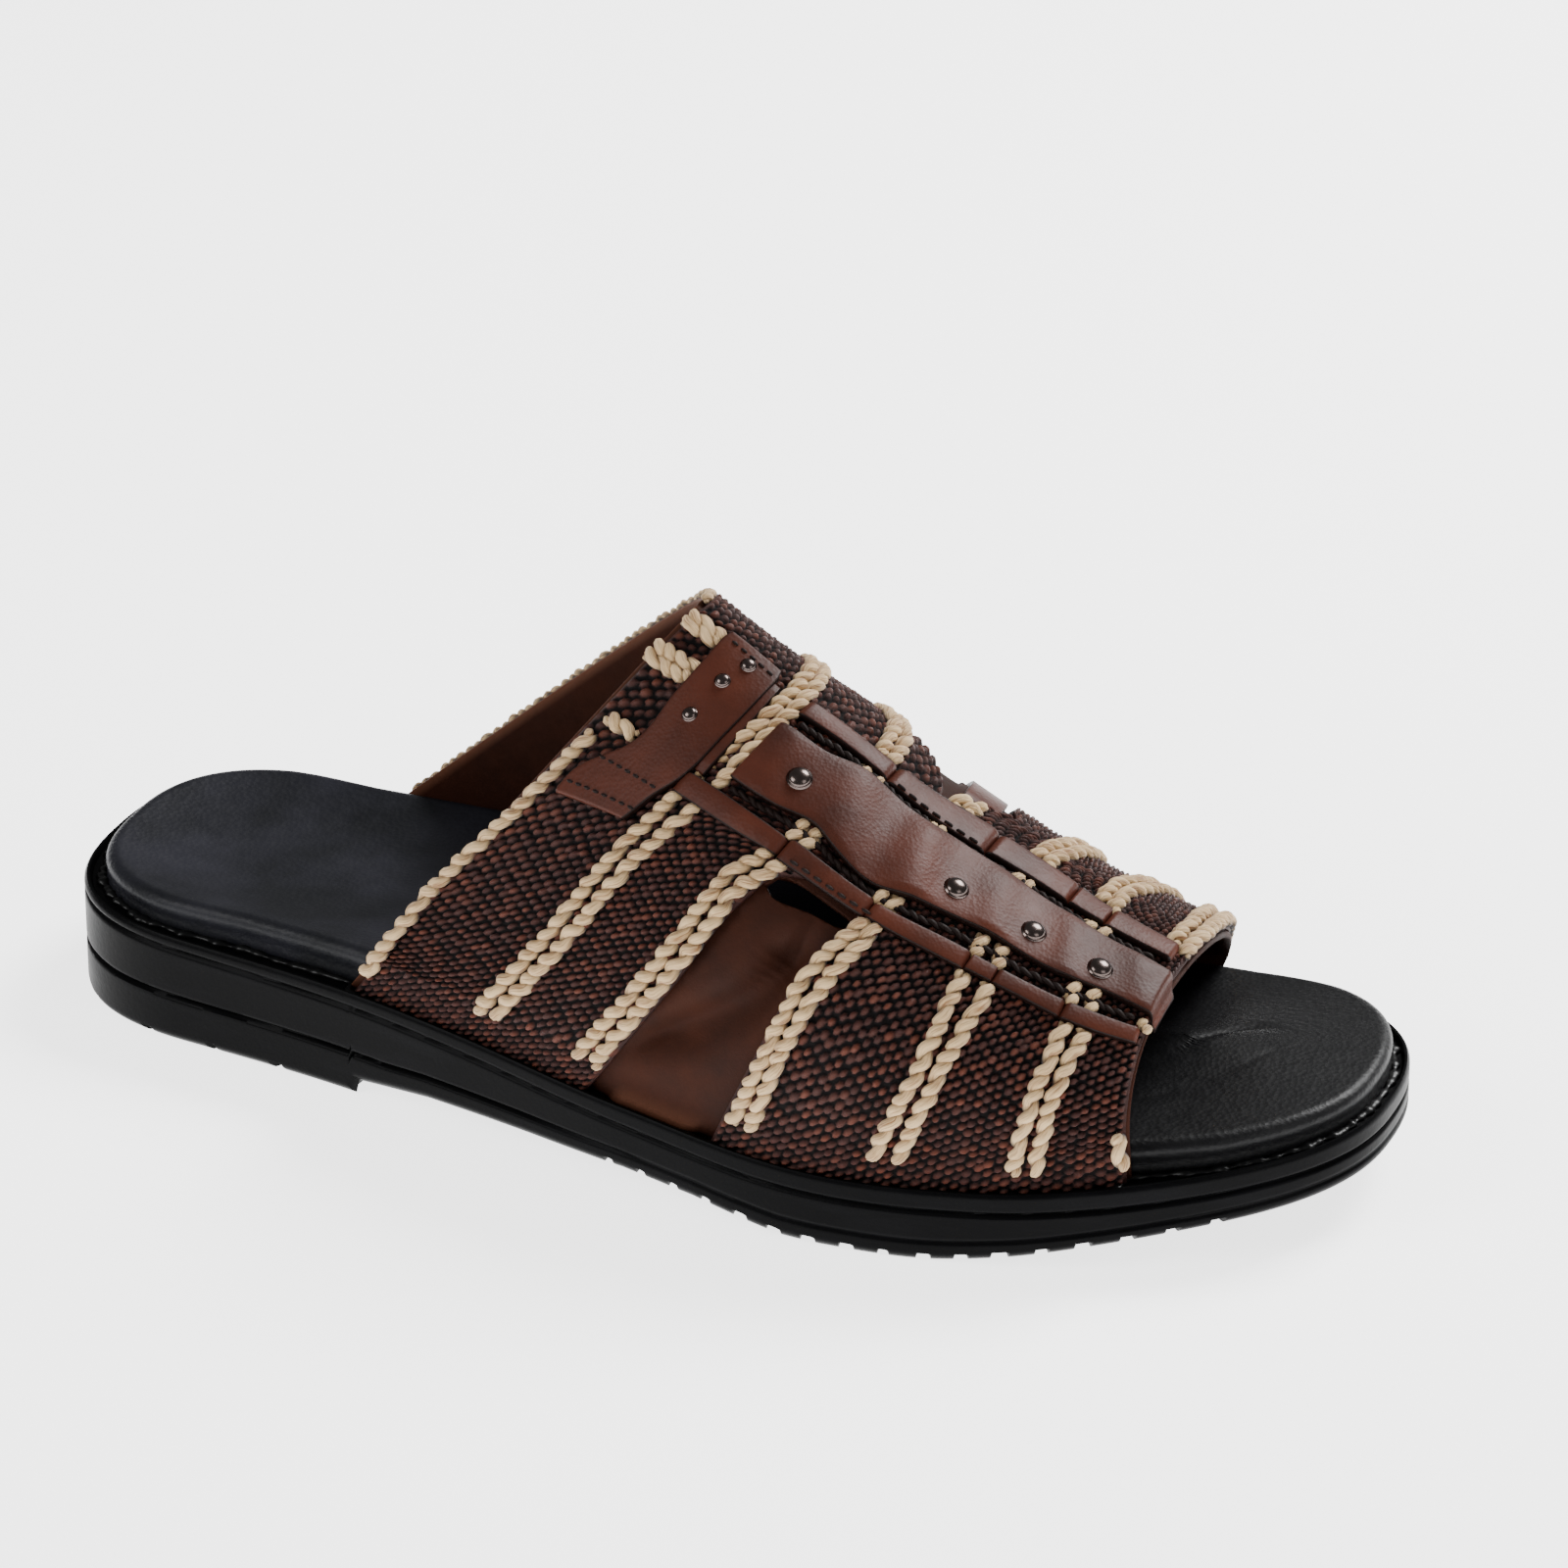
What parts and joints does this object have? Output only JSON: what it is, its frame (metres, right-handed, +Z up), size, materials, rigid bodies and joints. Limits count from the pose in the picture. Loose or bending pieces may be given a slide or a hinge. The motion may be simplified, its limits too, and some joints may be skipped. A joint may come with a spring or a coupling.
{
  "type": "slipper",
  "caption": "Open-toe, open-back slide slipper: striped woven bands and riveted leather straps over a leather lining, on a black rubber sole.",
  "frame": {"origin": "on the floor under the middle of the sole's bounding box", "axes": "+X toward the toe, +Y toward the inner (big toe) side, +Z up"},
  "size_m": [0.288, 0.1075, 0.1051],
  "materials": {
    "outsole": "satin black rubber",
    "footbed": "fine-grained charcoal leather",
    "upper_lining": "matt brown leather",
    "webbing": "coarse dark brown basket weave with cream braids",
    "strap_leather": "semi-gloss brown leather",
    "rivets": "dark gunmetal"
  },
  "bodies": {
    "root": {"outsole": "outsole", "footbed": "footbed", "upper_lining": "upper_lining", "rear_band": "webbing", "front_band": "webbing", "centre_strap": "strap_leather", "rail_lateral": "strap_leather", "rail_medial": "strap_leather", "cross_strap": "strap_leather", "side_strap": "strap_leather", "rivet_1": "rivets", "rivet_2": "rivets", "rivet_3": "rivets", "rivet_4": "rivets", "stud_1": "rivets", "stud_2": "rivets", "stud_3": "rivets"}
  },
  "joints": []
}
